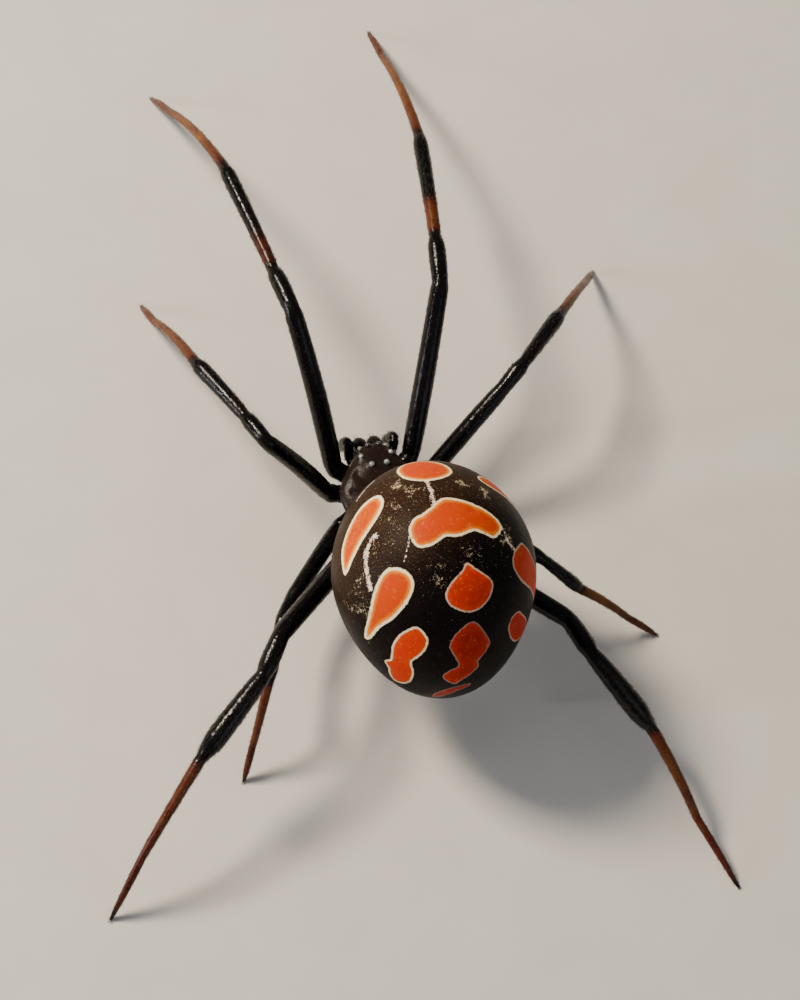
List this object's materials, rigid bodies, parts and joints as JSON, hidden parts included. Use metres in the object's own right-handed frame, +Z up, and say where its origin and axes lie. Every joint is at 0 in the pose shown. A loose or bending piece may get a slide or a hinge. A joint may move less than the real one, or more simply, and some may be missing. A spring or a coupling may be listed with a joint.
{
  "type": "black widow spider",
  "caption": "Still life-size female black widow spider: glossy globe abdomen, small front body and long jointed legs standing on small flat feet.",
  "frame": {"origin": "middle of the bounding box, on the floor that the feet stand on", "axes": "the spider faces -Y, its left side is +X, +Z is up"},
  "size_m": [0.0268, 0.041, 0.0107],
  "materials": {
    "black_cuticle": "glossy black shell of the legs and head, fine hairs",
    "abdomen_cuticle": "glossy brown-black skin with orange-red spots edged in cream",
    "brown_cuticle": "satin red-brown shell of the outer leg segments",
    "dark_cuticle": "satin dark brown shell under the body, jaws and feelers"
  },
  "bodies": {
    "root": {"carapace": "black_cuticle", "sternum": "dark_cuticle", "abdomen": "abdomen_cuticle", "spinnerets": "dark_cuticle", "pedicel": "dark_cuticle", "chelicera_left": "dark_cuticle", "chelicera_right": "dark_cuticle", "palp_left": "dark_cuticle", "palp_right": "dark_cuticle", "leg_left_1_coxa": "black_cuticle", "leg_left_1_femur": "black_cuticle", "leg_left_1_patella": "black_cuticle", "leg_left_1_tibia": "black_cuticle", "leg_left_1_metatarsus": "brown_cuticle", "leg_left_1_tarsus": "brown_cuticle", "leg_left_2_coxa": "black_cuticle", "leg_left_2_femur": "black_cuticle", "leg_left_2_patella": "black_cuticle", "leg_left_2_tibia": "black_cuticle", "leg_left_2_metatarsus": "brown_cuticle", "leg_left_2_tarsus": "brown_cuticle", "leg_left_3_coxa": "black_cuticle", "leg_left_3_femur": "black_cuticle", "leg_left_3_patella": "black_cuticle", "leg_left_3_tibia": "black_cuticle", "leg_left_3_metatarsus": "brown_cuticle", "leg_left_3_tarsus": "brown_cuticle", "leg_left_4_coxa": "black_cuticle", "leg_left_4_femur": "black_cuticle", "leg_left_4_patella": "black_cuticle", "leg_left_4_tibia": "black_cuticle", "leg_left_4_metatarsus": "brown_cuticle", "leg_left_4_tarsus": "brown_cuticle", "leg_right_1_coxa": "black_cuticle", "leg_right_1_femur": "black_cuticle", "leg_right_1_patella": "black_cuticle", "leg_right_1_tibia": "black_cuticle", "leg_right_1_metatarsus": "brown_cuticle", "leg_right_1_tarsus": "brown_cuticle", "leg_right_2_coxa": "black_cuticle", "leg_right_2_femur": "black_cuticle", "leg_right_2_patella": "black_cuticle", "leg_right_2_tibia": "black_cuticle", "leg_right_2_metatarsus": "brown_cuticle", "leg_right_2_tarsus": "brown_cuticle", "leg_right_3_coxa": "black_cuticle", "leg_right_3_femur": "black_cuticle", "leg_right_3_patella": "black_cuticle", "leg_right_3_tibia": "black_cuticle", "leg_right_3_metatarsus": "brown_cuticle", "leg_right_3_tarsus": "brown_cuticle", "leg_right_4_coxa": "black_cuticle", "leg_right_4_femur": "black_cuticle", "leg_right_4_patella": "black_cuticle", "leg_right_4_tibia": "black_cuticle", "leg_right_4_metatarsus": "brown_cuticle", "leg_right_4_tarsus": "brown_cuticle"}
  },
  "joints": []
}
